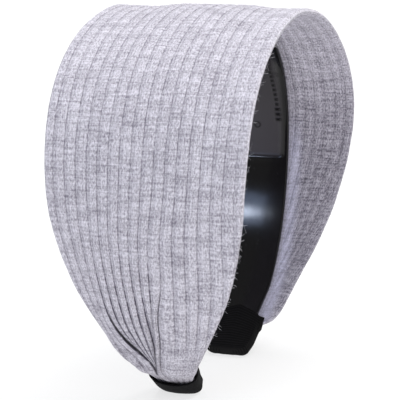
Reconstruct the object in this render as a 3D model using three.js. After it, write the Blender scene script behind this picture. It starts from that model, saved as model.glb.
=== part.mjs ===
// A wide fabric headband: a rib-knit cover over a moulded plastic hoop, with ribbon sleeves on the hoop's ends.
// Millimetres. X runs ear to ear, Y from the front rim (-) to the back rim (+), Z up. The band stands on its ends.
//
// A place on the band is given as (s, y, n): s along the arc from the crown, negative to the left;
// y across the band; n outward from the arc, square to it.

import * as THREE from 'three';

// The arc that the rims of the cover follow
const HALF_ARC = 188;
const HEADINGS = [
  { share: -0.25, degrees: -33 },
  { share: 0, degrees: 0 },
  { share: 0.25, degrees: 33 },
  { share: 0.5, degrees: 86 },
  { share: 0.75, degrees: 116 },
  { share: 1, degrees: 143 },
  { share: 1.02, degrees: 143 },
];
const ARC_STEP = 0.5;
const SWEEP_BACK = 2.5;

// The level that the sleeves' undersides are pressed flat to, above the foot of the arc
const FOOT_CUT = -1;

// The hoop
const HOOP_OUTSIDE = -1.6;
const HOOP_INSIDE = -3.6;
const HOOP_LENGTH = 187;
const HOOP_BEAD = 1.5;
const BEAD_SLOPE = 0.4;
const PANEL_DEPTH = 0.45;
const PANEL_END = 105;
const PANEL_STEP = 1.5;
const HOOP_ROWS = [
  { s: 0, half: 9.8 },
  { s: 130, half: 9.8 },
  { s: 156, half: 9.2 },
  { s: 167, half: 7.8 },
  { s: 176, half: 6.9 },
  { s: 187, half: 6.4 },
];
const TOOTH_PITCH = 2.2;
const TEETH_PER_SPAN = 5;
const TOOTH_LINE = 6.1;
const TOOTH_WIDTH = 0.8;
const TOOTH_HEIGHT = 0.5;
const TOOTH_SHARE = 0.5;
const TOOTH_CLEAR = 0.2;

// The lengthwise strips of the hoop's inner side, and the two that carry the teeth
const INSIDE_STRIPS = 9;
const TOOTH_STRIPS = [3, 5];

// Stations that the hoop and the cover share, so that their facets stay parallel
const TEETH_END = 8 * TEETH_PER_SPAN * TOOTH_PITCH;
const CROWN_STATIONS = [...Array(8).keys()].map((k) => (k * TEETH_END) / 8);
const SIDE_STATIONS = [88, 97, 105, 115, 124, 132, 139, 146, 152];
const COVER_TAIL = [158, 163, 168, 172, 175.5, 179, 183];
const HOOP_TAIL = [158, 164, 170, 178, 187];

// The cover along one half: its widths, the depth of its rib grooves, its thickness at the rims
// and how much thicker the bunched cloth is in the middle
const COVER_ROWS = [
  { s: 0, front: 33.4, back: 36.8, groove: 0.4, thick: 2.3, belly: 0 },
  { s: 38, front: 34, back: 37.1, groove: 0.4, thick: 2.3, belly: 0 },
  { s: 75, front: 34.3, back: 36, groove: 0.4, thick: 2.3, belly: 0 },
  { s: 103, front: 33.5, back: 34.1, groove: 0.45, thick: 2.3, belly: 0 },
  { s: 118, front: 31.3, back: 31.1, groove: 0.5, thick: 2.3, belly: 0 },
  { s: 132, front: 27.5, back: 27, groove: 0.55, thick: 2.3, belly: 0 },
  { s: 150, front: 19.7, back: 20.3, groove: 0.7, thick: 2.3, belly: 0.1 },
  { s: 160, front: 14.9, back: 17, groove: 0.8, thick: 2.2, belly: 0.5 },
  { s: 168, front: 11.2, back: 13.6, groove: 0.8, thick: 2, belly: 1.3 },
  { s: 172, front: 9.7, back: 11.5, groove: 0.7, thick: 1.6, belly: 1.7 },
  { s: 175.5, front: 8.1, back: 8.5, groove: 0.4, thick: 1, belly: 1.6 },
  { s: 179, front: 7.1, back: 7.2, groove: 0.25, thick: 0.9, belly: 1.3 },
  { s: 183, front: 6.9, back: 7, groove: 0.2, thick: 0.8, belly: 0.8 },
];
const RIBS = 18;
const CREST_FROM = 0.2;
const INNER_LINES = 22;
const INNER_GROOVE = 0.35;
const INNER_RIBS = { from: 0.34, full: 0.5, until: 0.9, fadeFrom: 140, fadeTo: 156 };
const GROOVE_LIMIT = 0.7;
const RIM_FROM = 0.7;
const RIM_TURNS = [60, 120];
const COVER_GAP = 0.3;
const RAISE = 1.05;
const RAISE_FROM = 0.6;
const RAISE_TO = 13;
const FALL_FROM = 152;
const FALL_TO = 170;
const RIM_FLARE = 0.2;

// How much wider the front rim stands on the right half than on the left
const RIGHT_SWELL = [
  { s: 0, wide: 0 },
  { s: 20, wide: 0.6 },
  { s: 40, wide: 0.7 },
  { s: 78, wide: 1.7 },
  { s: 90, wide: 1.3 },
  { s: 103, wide: 0 },
  { s: 118, wide: -1 },
  { s: 132, wide: -1.1 },
  { s: 142, wide: -0.3 },
  { s: 150, wide: 0.5 },
  { s: 160, wide: 2.2 },
  { s: 168, wide: 3.6 },
  { s: 171, wide: 3.2 },
  { s: 173, wide: 1.5 },
  { s: 175.5, wide: 0 },
];

// The ribs gather in three groups, front, middle and back. The rib groove at each bound, and where it runs
// across the band
const LIP_GROOVE = 8;
const FOLD_GROOVE = 14;
const GATHER_FROM = 92;
const GATHER_FULL = 118;
const GATHER_ROWS = [
  { s: 92, lip: -2.4, fold: 20.4 },
  { s: 118, lip: -0.9, fold: 18.6 },
  { s: 130, lip: 0, fold: 17.1 },
  { s: 140, lip: 0.7, fold: 15.5 },
  { s: 146, lip: 1.3, fold: 14.3 },
  { s: 152, lip: 2, fold: 12.3 },
  { s: 158, lip: 2.9, fold: 9.4 },
  { s: 163, lip: 3.3, fold: 7 },
  { s: 168, lip: 3.4, fold: 6.2 },
  { s: 172, lip: 3.3, fold: 5.8 },
  { s: 175.5, lip: 2.4, fold: 4.6 },
  { s: 179, lip: 1.6, fold: 3.6 },
  { s: 183, lip: 1.2, fold: 3.2 },
];

// Deep pleats: which rib groove each one follows, where it starts, is deepest and ends
const PLEATS = [
  { groove: 7, from: 126, deepest: 154, to: 175, depth: 0.9 },
  { groove: 8, from: 130, deepest: 158, to: 175, depth: 1.3 },
  { groove: 10, from: 118, deepest: 142, to: 170, depth: 0.8 },
  { groove: 12, from: 130, deepest: 152, to: 175, depth: 0.8 },
  { groove: 14, from: 138, deepest: 160, to: 181, depth: 1.6 },
  { groove: 16, from: 150, deepest: 165, to: 179, depth: 0.9 },
];

// The back group of ribs lies over the edge of the middle one, a little higher
const LAP = { high: 0.4, from: 140, full: 152, until: 162, to: 170, edge: 0.5 };

// The ribbon sleeves: half widths, the levels of the side edges, and the bulge of the outside between them
const WRAP_ROWS = [
  { s: 168.5, frontLeft: 8.8, frontRight: 10.2, back: 9.7, frontEdge: -1.9, backEdge: -1.7, bulge: 4.3 },
  { s: 174, frontLeft: 8.8, frontRight: 10.2, back: 9.6, frontEdge: -1.9, backEdge: -1.6, bulge: 4.3 },
  { s: 179, frontLeft: 8.6, frontRight: 9.6, back: 9.1, frontEdge: -1.8, backEdge: -1.5, bulge: 4.2 },
  { s: 184, frontLeft: 8, frontRight: 9.2, back: 8.7, frontEdge: -1.7, backEdge: -1.5, bulge: 4.1 },
  { s: 188.2, frontLeft: 7.8, frontRight: 8.2, back: 8.3, frontEdge: -1.6, backEdge: -1.6, bulge: 3.4 },
];
const WRAP_SQUARE = 0.75;
const WRAP_RINGS = [0, 0.12, 0.28, 0.48, 0.68, 0.84, 0.94, 1];
const WRAP_END = 188.2;
const WRAP_CLOSING = [
  { s: 188.9, scale: 0.86 },
  { s: 189.2, scale: 0.5 },
];
const WRAP_INSIDE = -4.8;
const WRAP_WALL = 0.8;
const WRAP_CORNER = 0.7;
const WRAP_ARC_SIDES = 10;

// Where the sleeve's mouth is cut: outside and inside, in the middle and at the side edges
const MOUTH = { outsideMiddle: 179, outsideEdge: 177, insideEdge: 174.8, insideCorner: 172, insideMiddle: 168.5 };

// The right sleeve's inner front corner stands out as a small ear, from the first place to the second
const EAR = 2.9;
const EAR_FROM = 174.8;
const EAR_TO = 178;
const CAVITY_RINGS = [0, 0.35, 0.7, 1];
const CAVITY_END = 187.4;

const KNIT = { color: 0xb7b2c0, roughness: 0.95, metalness: 0 };
const GLOSS_BLACK = { color: 0x1c1b20, roughness: 0.2, metalness: 0 };
const RIBBON_BLACK = { color: 0x151417, roughness: 0.8, metalness: 0 };

const mix = (a, b, share) => a + (b - a) * share;
const clamp01 = (value) => Math.min(1, Math.max(0, value));
const range = (count) => [...Array(count).keys()];

function ease(value, from, to) {
  const share = clamp01((value - from) / (to - from));
  return share * share * (3 - 2 * share);
}

// Reads one named column of a table at any place, as a smooth curve that never overshoots its rows
function column(rows, by, name) {
  const at = rows.map((row) => row[by]);
  const value = rows.map((row) => row[name]);
  const rise = range(at.length - 1).map((k) => (value[k + 1] - value[k]) / (at[k + 1] - at[k]));
  const slope = at.map((_, k) => {
    if (k === 0) return rise[0];
    if (k === at.length - 1) return rise[k - 1];
    if (rise[k - 1] * rise[k] <= 0) return 0;
    const before = at[k] - at[k - 1];
    const after = at[k + 1] - at[k];
    return (3 * (before + after)) / ((2 * after + before) / rise[k - 1] + (after + 2 * before) / rise[k]);
  });
  return (place) => {
    if (place <= at[0]) return value[0];
    if (place >= at[at.length - 1]) return value[value.length - 1];
    const k = at.findIndex((start, i) => place < at[i + 1]);
    const length = at[k + 1] - at[k];
    const share = (place - at[k]) / length;
    const bent = share * share * (3 - 2 * share);
    const lead = share * (1 - share) * (1 - share) * slope[k];
    const tail = share * share * (1 - share) * slope[k + 1];
    return mix(value[k], value[k + 1], bent) + length * (lead - tail);
  };
}

// The half arc, walked from the crown in short steps
function walkArc() {
  const heading = column(HEADINGS, 'share', 'degrees');
  const steps = [{ x: 0, z: 0, turn: 0 }];
  const count = Math.ceil((HALF_ARC + 3) / ARC_STEP);
  range(count).forEach((k) => {
    const last = steps[k];
    const middle = THREE.MathUtils.degToRad(heading(((k + 0.5) * ARC_STEP) / HALF_ARC));
    const turn = THREE.MathUtils.degToRad(heading(((k + 1) * ARC_STEP) / HALF_ARC));
    steps.push({ x: last.x + Math.cos(middle) * ARC_STEP, z: last.z - Math.sin(middle) * ARC_STEP, turn });
  });
  return steps;
}

const ARC = walkArc();
const ARC_FOOT = ARC[HALF_ARC / ARC_STEP].z;

// Turns a place on the band into a point in space
function place(s, y, n) {
  const along = Math.abs(s) / ARC_STEP;
  const k = Math.floor(along);
  const share = along - k;
  const turn = mix(ARC[k].turn, ARC[k + 1].turn, share);
  const x = mix(ARC[k].x, ARC[k + 1].x, share) + Math.sin(turn) * n;
  const z = mix(ARC[k].z, ARC[k + 1].z, share) + Math.cos(turn) * n - ARC_FOOT;
  const swept = y + SWEEP_BACK * (Math.abs(s) / HALF_ARC) ** 3;
  return new THREE.Vector3(s < 0 ? -x : x, swept, z);
}

// Triangles gathered into one closed skin, turned so that its faces point out
class Skin {
  constructor() {
    this.points = [];
  }

  // Where two lines share an end, the triangle between them there has no area and is left out
  triangle(a, b, c) {
    if (a.equals(b) || b.equals(c) || c.equals(a)) return;
    this.points.push(a, b, c);
  }

  quad(a, b, c, d) {
    this.triangle(a, b, c);
    this.triangle(a, c, d);
  }

  // Joins rings that hold the same number of points
  loft(rings) {
    rings.slice(1).forEach((ring, k) => {
      ring.forEach((_, j) => {
        const next = (j + 1) % ring.length;
        this.quad(rings[k][j], rings[k][next], ring[next], ring[j]);
      });
    });
  }

  // Joins two lines of points that may differ in number, each point with its share of the way along
  zip(first, second) {
    let i = 0;
    let j = 0;
    while (i < first.length - 1 || j < second.length - 1) {
      const firstNext = i < first.length - 1 ? first[i + 1].share : Infinity;
      const secondNext = j < second.length - 1 ? second[j + 1].share : Infinity;
      if (firstNext < secondNext) {
        this.triangle(first[i].point, first[i + 1].point, second[j].point);
        i += 1;
      } else {
        this.triangle(first[i].point, second[j + 1].point, second[j].point);
        j += 1;
      }
    }
  }

  fan(ring, centre) {
    ring.forEach((point, k) => this.triangle(point, ring[(k + 1) % ring.length], centre));
  }

  volume() {
    const sum = range(this.points.length / 3).map((k) => {
      const [a, b, c] = this.points.slice(3 * k, 3 * k + 3);
      return a.dot(b.clone().cross(c)) / 6;
    });
    return sum.reduce((total, piece) => total + piece, 0);
  }

  geometry() {
    const outward = this.volume() > 0;
    const order = outward ? [0, 1, 2] : [0, 2, 1];
    const ordered = range(this.points.length / 3).flatMap((k) => order.map((j) => this.points[3 * k + j]));
    const shape = new THREE.BufferGeometry().setFromPoints(ordered);
    shape.computeVertexNormals();
    return shape;
  }
}

function piece(name, skin, finish) {
  const mesh = new THREE.Mesh(skin.geometry(), new THREE.MeshStandardMaterial(finish));
  mesh.name = name;
  return mesh;
}

// Mirrors a list of stations of one half to the whole band
function wholeBand(stations) {
  const left = stations.filter((s) => s > 0).reverse().map((s) => -s);
  return [...left, ...stations];
}

const hoopHalf = column(HOOP_ROWS, 's', 'half');

// The inner side of the hoop's section: edge bead, slope, floor with the tooth lines, slope, edge bead
function hoopInside(s) {
  const half = hoopHalf(Math.abs(s));
  const sunk = PANEL_DEPTH * (1 - ease(Math.abs(s), PANEL_END, PANEL_END + PANEL_STEP));
  const floor = HOOP_INSIDE + sunk;
  const bead = half - HOOP_BEAD;
  const slope = bead - BEAD_SLOPE;
  const teeth = Math.min(TOOTH_LINE, slope - TOOTH_WIDTH - TOOTH_CLEAR);
  const right = [
    { y: teeth, n: floor },
    { y: teeth + TOOTH_WIDTH, n: floor },
    { y: slope, n: floor },
    { y: bead, n: HOOP_INSIDE },
    { y: half, n: HOOP_INSIDE },
  ];
  const left = right.map(({ y, n }) => ({ y: -y, n })).reverse();
  return [...left, ...right];
}

function buildHoop() {
  const skin = new Skin();
  const stations = [...CROWN_STATIONS, ...SIDE_STATIONS, PANEL_END + PANEL_STEP, ...HOOP_TAIL];
  const whole = wholeBand(stations.sort((a, b) => a - b));
  const toothShares = range(TEETH_PER_SPAN).flatMap((k) => [
    (k + (1 - TOOTH_SHARE) / 2) / TEETH_PER_SPAN,
    (k + (1 + TOOTH_SHARE) / 2) / TEETH_PER_SPAN,
  ]);

  // Points along one lengthwise line between two stations, with the feet of the teeth where it carries them
  const line = (from, to, j) => {
    const a = hoopInside(from)[j];
    const b = hoopInside(to)[j];
    const start = place(from, a.y, a.n);
    const end = place(to, b.y, b.n);
    const toothed = TOOTH_STRIPS.some((strip) => j === strip || j === strip + 1);
    const carries = toothed && Math.max(Math.abs(from), Math.abs(to)) <= TEETH_END;
    const shares = carries ? [0, ...toothShares, 1] : [0, 1];
    return shares.map((share) => ({ share, point: start.clone().lerp(end, share) }));
  };

  whole.slice(1).forEach((to, k) => {
    const from = whole[k];
    range(INSIDE_STRIPS).forEach((j) => {
      const first = line(from, to, j);
      const second = line(from, to, j + 1);
      if (!TOOTH_STRIPS.includes(j) || first.length === 2) {
        skin.zip(first, second);
        return;
      }
      range(first.length - 1).forEach((m) => {
        const corners = [first[m], first[m + 1], second[m + 1], second[m]].map((end) => end.point);
        if (m % 2 === 0) {
          skin.quad(...corners);
          return;
        }
        const s = mix(from, to, (first[m].share + first[m + 1].share) / 2);
        const y = (TOOTH_LINE + TOOTH_WIDTH / 2) * (j === TOOTH_STRIPS[0] ? -1 : 1);
        const tip = place(s, y, HOOP_INSIDE + PANEL_DEPTH - TOOTH_HEIGHT);
        corners.forEach((corner, c) => skin.triangle(corner, corners[(c + 1) % 4], tip));
      });
    });
    const halves = [from, to].map((s) => hoopHalf(Math.abs(s)));
    const back = [place(from, halves[0], HOOP_OUTSIDE), place(to, halves[1], HOOP_OUTSIDE)];
    const front = [place(from, -halves[0], HOOP_OUTSIDE), place(to, -halves[1], HOOP_OUTSIDE)];
    const backEdge = line(from, to, 9).map((end) => end.point);
    const frontEdge = line(from, to, 0).map((end) => end.point);
    skin.quad(backEdge[0], backEdge[1], back[1], back[0]);
    skin.quad(back[0], back[1], front[1], front[0]);
    skin.quad(front[0], front[1], frontEdge[1], frontEdge[0]);
  });

  // The two end faces
  [-HOOP_LENGTH, HOOP_LENGTH].forEach((s) => {
    const inside = hoopInside(s);
    const half = hoopHalf(HOOP_LENGTH);
    const inner = inside.map(({ y, n }) => ({ share: (y + half) / (2 * half), point: place(s, y, n) }));
    const outer = [-half, half].map((y) => ({ share: (y + half) / (2 * half), point: place(s, y, HOOP_OUTSIDE) }));
    if (s < 0) skin.zip(inner, outer);
    else skin.zip(outer, inner);
  });
  return skin;
}

const columns = (rows, ...names) => Object.fromEntries(names.map((name) => [name, column(rows, 's', name)]));
const coverAt = columns(COVER_ROWS, 'front', 'back', 'groove', 'thick', 'belly');
const gatherAt = columns(GATHER_ROWS, 'lip', 'fold');
const swellAt = column(RIGHT_SWELL, 's', 'wide');
const wrapAt = columns(WRAP_ROWS, 'frontLeft', 'frontRight', 'back', 'frontEdge', 'backEdge', 'bulge');

// The inner face of the cover lies on the hoop and falls away beside it
function coverInside(s, y) {
  const beside = Math.abs(y) - hoopHalf(s);
  const fall = RAISE * ease(beside, RAISE_FROM, RAISE_TO) * (1 - ease(s, FALL_FROM, FALL_TO));
  return HOOP_OUTSIDE + COVER_GAP - fall;
}

// How deep each rib groove is at one station, with the pleats that follow it
function grooveDepth(s, groove, pitch) {
  const along = Math.abs(s);
  const plain = Math.min(coverAt.groove(along), GROOVE_LIMIT * pitch);
  const pleats = PLEATS.filter((pleat) => pleat.groove === groove).map((pleat) => {
    const rising = ease(along, pleat.from, pleat.deepest);
    return pleat.depth * rising * (1 - ease(along, pleat.deepest, pleat.to));
  });
  return Math.max(plain, ...pleats);
}

function coverSection(s) {
  const along = Math.abs(s);
  const belly = coverAt.belly(along);
  const radius = coverAt.thick(along) / 2;
  const swell = s > 0 ? swellAt(along) : 0;
  const front = coverAt.front(along) + swell - radius;
  const back = coverAt.back(along) - radius;
  const lip = gatherAt.lip(along);
  const fold = gatherAt.fold(along);
  const lap = LAP.high * ease(along, LAP.from, LAP.full) * (1 - ease(along, LAP.until, LAP.to));

  // How far across the band a rib line runs
  const across = (rib) => {
    const share = (2 * rib) / RIBS - 1;
    const even = share * (share < 0 ? front : back);
    const inFront = mix(-front, lip, rib / LIP_GROOVE);
    const inMiddle = mix(lip, fold, (rib - LIP_GROOVE) / (FOLD_GROOVE - LIP_GROOVE));
    const inBack = mix(fold, back, (rib - FOLD_GROOVE) / (RIBS - FOLD_GROOVE));
    const gathered = rib < LIP_GROOVE ? inFront : rib < FOLD_GROOVE ? inMiddle : inBack;
    return mix(even, gathered, ease(along, GATHER_FROM, GATHER_FULL));
  };

  const over = (rib, depth) => {
    const y = across(rib);
    const share = y / (y < 0 ? front : back);
    const rim = ease(Math.abs(share), RIM_FROM, 1);
    const lapped = lap * ease(rib, FOLD_GROOVE, FOLD_GROOVE + LAP.edge) * (1 - rim);
    const thick = 2 * radius + belly * Math.sqrt(Math.max(0, 1 - share ** 2)) + lapped;
    return place(s, y, coverInside(along, y) + RIM_FLARE * rim + thick - depth);
  };

  const under = (share, depth) => {
    const y = share * (share < 0 ? front : back);
    return place(s, y, coverInside(along, y) + RIM_FLARE * ease(Math.abs(share), RIM_FROM, 1) + depth);
  };

  const outside = range(RIBS).flatMap((rib) => {
    const narrower = Math.min(across(rib + 1) - across(rib), across(rib) - across(rib - 1));
    const depth = rib === 0 ? 0 : grooveDepth(s, rib, narrower);
    return [over(rib, depth), over(rib + CREST_FROM, 0), over(rib + 1 - CREST_FROM, 0)];
  });
  outside.push(over(RIBS, 0));

  const inside = range(INNER_LINES).map((k) => {
    const share = (2 * k) / (INNER_LINES - 1) - 1;
    const free = ease(Math.abs(share), INNER_RIBS.from, INNER_RIBS.full);
    const inRim = ease(Math.abs(share), INNER_RIBS.until, 1);
    const faded = ease(along, INNER_RIBS.fadeFrom, INNER_RIBS.fadeTo);
    const ribbed = INNER_GROOVE * free * (k % 2) * (1 - inRim) * (1 - faded);
    return under(share, ribbed);
  });

  // The rounded rims, between the last outer and the last inner point of each side
  const rim = (outer, inner, side) => {
    const middle = outer.clone().add(inner).multiplyScalar(0.5);
    const reach = outer.clone().sub(middle);
    const out = new THREE.Vector3(0, side * reach.length(), 0);
    return RIM_TURNS.map((degrees) => {
      const angle = THREE.MathUtils.degToRad(degrees);
      return middle.clone().addScaledVector(reach, Math.cos(angle)).addScaledVector(out, Math.sin(angle));
    });
  };
  const backRim = rim(outside[outside.length - 1], inside[inside.length - 1], 1);
  const frontRim = rim(outside[0], inside[0], -1);
  return { outside, backRim, inside, frontRim };
}

function buildCover() {
  const skin = new Skin();
  const stations = wholeBand([...CROWN_STATIONS, ...SIDE_STATIONS, ...COVER_TAIL]);
  const sections = stations.map(coverSection);
  const ring = ({ outside, backRim, inside, frontRim }) => [
    ...outside,
    ...backRim,
    ...[...inside].reverse(),
    ...[...frontRim].reverse(),
  ];
  skin.loft(sections.map(ring));

  const shared = (points) => points.map((point, k) => ({ share: k / (points.length - 1), point }));
  [sections[0], sections[sections.length - 1]].forEach(({ outside, backRim, inside, frontRim }, end) => {
    const upper = shared([frontRim[0], ...outside, backRim[0]]);
    const lower = shared([frontRim[0], frontRim[1], ...inside, backRim[1], backRim[0]]);
    if (end === 0) skin.zip(lower, upper);
    else skin.zip(upper, lower);
  });
  return skin;
}

// One ring of a sleeve, a share of the way from its mouth to its end: the bulged outside from back to front,
// then the flat inside from front to back. The mouth is cut longer on the inside than on the outside.
function wrapRing(side, share, end, wall, inside) {
  const eared = side > 0 && wall === 0;
  const frontAt = side > 0 ? wrapAt.frontRight : wrapAt.frontLeft;
  const point = (mouth, across, level) => {
    const s = mix(mouth, end, share);
    const half = (across < 0 ? frontAt(s) : wrapAt.back(s)) - wall;
    const ear = eared && across <= -1 ? EAR * (1 - ease(s, EAR_FROM, EAR_TO)) : 0;
    const y = across * half - ear;
    return place(side * s, y, level(s));
  };
  const arc = range(WRAP_ARC_SIDES + 1).map((k) => {
    const angle = (Math.PI * k) / WRAP_ARC_SIDES;
    const mouth = mix(MOUTH.outsideEdge, MOUTH.outsideMiddle, Math.sin(angle));
    const across = k === WRAP_ARC_SIDES ? -1 : Math.cos(angle);
    const edge = (s) => mix(wrapAt.frontEdge(s), wrapAt.backEdge(s), (across + 1) / 2);
    return point(mouth, across, (s) => edge(s) + (wrapAt.bulge(s) - wall) * Math.sin(angle) ** WRAP_SQUARE);
  });
  const corner = WRAP_CORNER / wrapAt.back(end);
  const under = [
    point(MOUTH.insideEdge, -1, () => inside + WRAP_CORNER),
    point(MOUTH.insideCorner, corner - 1, () => inside),
    point(MOUTH.insideMiddle, 0, () => inside),
    point(MOUTH.insideCorner, 1 - corner, () => inside),
    point(MOUTH.insideEdge, 1, () => inside + WRAP_CORNER),
  ];
  return [...arc, ...under];
}

function buildWrap(side) {
  const skin = new Skin();
  const centre = (ring) => {
    const sum = ring.reduce((total, point) => total.add(point), new THREE.Vector3());
    return sum.divideScalar(ring.length);
  };
  const open = WRAP_RINGS.map((share) => wrapRing(side, share, WRAP_END, 0, WRAP_INSIDE));
  const last = open[open.length - 1];
  const axis = centre(last);
  const closing = WRAP_CLOSING.map(({ s, scale }) => {
    const onward = place(side * s, 0, 0).sub(place(side * WRAP_END, 0, 0));
    return last.map((point) => point.clone().sub(axis).multiplyScalar(scale).add(axis).add(onward));
  });
  const above = (ring, level) => ring.map((point) => point.clone().setZ(Math.max(point.z, level)));
  const outer = [...open, ...closing].map((ring) => above(ring, FOOT_CUT));

  // The cavity that holds the hoop's end and the end of the cover
  const cavity = CAVITY_RINGS.map((share) => {
    const ring = wrapRing(side, share, CAVITY_END, WRAP_WALL, WRAP_INSIDE + WRAP_WALL);
    return above(ring, FOOT_CUT + WRAP_WALL);
  });
  const deepest = cavity[cavity.length - 1];
  const tip = outer[outer.length - 1];
  skin.loft([...outer].reverse());
  skin.loft([outer[0], ...cavity]);
  skin.fan(deepest, centre(deepest));
  skin.fan([...tip].reverse(), centre(tip));
  return skin;
}

const ends = new THREE.Group();
ends.add(piece('end_wrap_left', buildWrap(-1), RIBBON_BLACK));
ends.add(piece('end_wrap_right', buildWrap(1), RIBBON_BLACK));

const frame = new THREE.Group();
frame.add(piece('hoop', buildHoop(), GLOSS_BLACK));
frame.add(ends);

const headband = new THREE.Group();
headband.add(frame);
headband.add(piece('cover', buildCover(), KNIT));

// The origin lies on the ground, under the middle of the band
const box = new THREE.Box3().setFromObject(headband);
headband.position.set(-(box.min.x + box.max.x) / 2, -(box.min.y + box.max.y) / 2, -box.min.z);

export default headband;
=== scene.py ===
"""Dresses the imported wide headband: knit cover, rim fuzz, hoop, ribbon sleeves, floor, light and camera.

Millimetres are used for everything on the band and turned into metres where meshes are made.
A place on the band is (s, y, n): s along the arc from the crown, negative to the left,
y across the band from the front rim to the back rim, n outward from the arc.
"""

import math

import bpy
import numpy as np
from bpy.props import FloatProperty, FloatVectorProperty, IntProperty, PointerProperty
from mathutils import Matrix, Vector


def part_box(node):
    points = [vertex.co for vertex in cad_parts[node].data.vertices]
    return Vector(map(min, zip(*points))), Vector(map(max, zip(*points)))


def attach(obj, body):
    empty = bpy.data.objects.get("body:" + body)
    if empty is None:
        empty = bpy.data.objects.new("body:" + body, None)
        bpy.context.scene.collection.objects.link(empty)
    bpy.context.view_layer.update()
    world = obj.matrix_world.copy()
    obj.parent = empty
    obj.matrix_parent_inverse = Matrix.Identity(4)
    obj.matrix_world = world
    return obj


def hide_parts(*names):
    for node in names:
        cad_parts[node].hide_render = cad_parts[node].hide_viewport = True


bl_info = {
    "name": "Wide headband",
    "version": (1, 0, 0),
    "blender": (4, 5, 0),
    "location": "3D View > Sidebar > Headband",
    "description": "Builds the visible pieces of a wide rib-knit headband around its packed solids",
    "category": "Object",
}

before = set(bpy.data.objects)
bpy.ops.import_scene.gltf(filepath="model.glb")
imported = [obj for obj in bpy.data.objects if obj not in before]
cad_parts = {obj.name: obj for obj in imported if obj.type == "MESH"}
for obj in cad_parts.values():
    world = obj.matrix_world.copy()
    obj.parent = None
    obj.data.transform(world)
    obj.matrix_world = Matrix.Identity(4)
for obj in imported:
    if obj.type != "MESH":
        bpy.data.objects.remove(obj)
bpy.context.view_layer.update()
MM = 0.001
WHITE = (1, 1, 1)


def table(names, *rows):
    """A short table: the names of its columns, then its rows."""
    return [dict(zip(names.split(), row)) for row in rows]


# The arc that the rims of the cover follow: heading in degrees at a share of its half length
HALF_ARC = 188
HEADINGS = table(
    "share degrees",
    (-0.25, -33),
    (0, 0),
    (0.25, 33),
    (0.5, 86),
    (0.75, 116),
    (1, 143),
    (1.02, 143),
)
ARC_STEP = 0.5
ARC_SPARE = 3
SWEEP_BACK = 2.5
HOOP_HALF_AT_CROWN = 9.8

# The cover along one half: its widths, the depth of its rib grooves, its thickness at the rims and how
# much thicker the bunched cloth is in the middle, and how much wider the right half is at the front
COVER_ROWS = table(
    "s front back groove thick belly",
    (0, 33.4, 36.8, 0.4, 2.3, 0),
    (38, 34, 37.1, 0.4, 2.3, 0),
    (75, 34.3, 36, 0.4, 2.3, 0),
    (103, 33.5, 34.1, 0.45, 2.3, 0),
    (118, 31.3, 31.1, 0.5, 2.3, 0),
    (132, 27.5, 27, 0.55, 2.3, 0),
    (150, 19.7, 20.3, 0.7, 2.3, 0.1),
    (160, 14.9, 17, 0.8, 2.2, 0.5),
    (168, 11.2, 13.6, 0.8, 2, 1.3),
    (172, 9.7, 11.5, 0.7, 1.6, 1.7),
    (175.5, 8.1, 8.5, 0.4, 1, 1.6),
    (179, 7.1, 7.2, 0.25, 0.9, 1.3),
    (183, 6.9, 7, 0.2, 0.8, 0.8),
)
RIGHT_SWELL = table(
    "s wide",
    (0, 0),
    (20, 0.6),
    (40, 0.7),
    (78, 1.7),
    (90, 1.3),
    (103, 0),
    (118, -1),
    (132, -1.1),
    (142, -0.3),
    (150, 0.5),
    (160, 2.2),
    (168, 3.6),
    (171, 3.2),
    (173, 1.5),
    (175.5, 0),
)

# Pleats: the groove that each follows, where it begins, is deepest and ends, and its depth
PLEATS = table(
    "groove from deepest to depth",
    (7, 126, 152, 168, 0.5),
    (9, 132, 154, 168, 0.4),
    (10, 118, 142, 168, 0.6),
    (11, 128, 148, 168, 0.4),
    (12, 130, 152, 168, 0.5),
    (13, 134, 156, 168, 0.4),
    (15, 150, 165, 179, 0.5),
)
RIBS = 18
COVER_INSIDE = -1.3
RAISE = 1.05
RAISE_FROM = 0.6
RAISE_TO = 13
FALL_FROM = 152
FALL_TO = 170
RIM_FLARE = 0.2
RIM_FROM = 0.7
INNER_RIM = 0.94
INNER_FADE_FROM = 140
INNER_FADE_TO = 156

# The hoop
HOOP_ROWS = table(
    "s half",
    (0, 9.8),
    (130, 9.8),
    (156, 9.2),
    (167, 7.8),
    (176, 6.9),
    (187, 6.4),
)
HOOP_OUTSIDE = -1.6
HOOP_INSIDE = -3.6

# The ribbon sleeves
WRAP_ROWS = table(
    "s front_left front_right back front_edge back_edge bulge",
    (168.5, 8.8, 10.2, 9.7, -1.9, -1.7, 4.3),
    (174, 8.8, 10.2, 9.6, -1.9, -1.6, 4.3),
    (179, 8.6, 9.6, 9.1, -1.8, -1.5, 4.2),
    (184, 8, 9.2, 8.7, -1.7, -1.5, 4.1),
    (188.2, 7.8, 8.2, 8.3, -1.6, -1.6, 3.4),
)


def mix(a, b, share):
    return a + (b - a) * share


def ease(value, start, end):
    share = np.clip((np.asarray(value, float) - start) / (end - start), 0, 1)
    return share * share * (3 - 2 * share)


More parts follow.
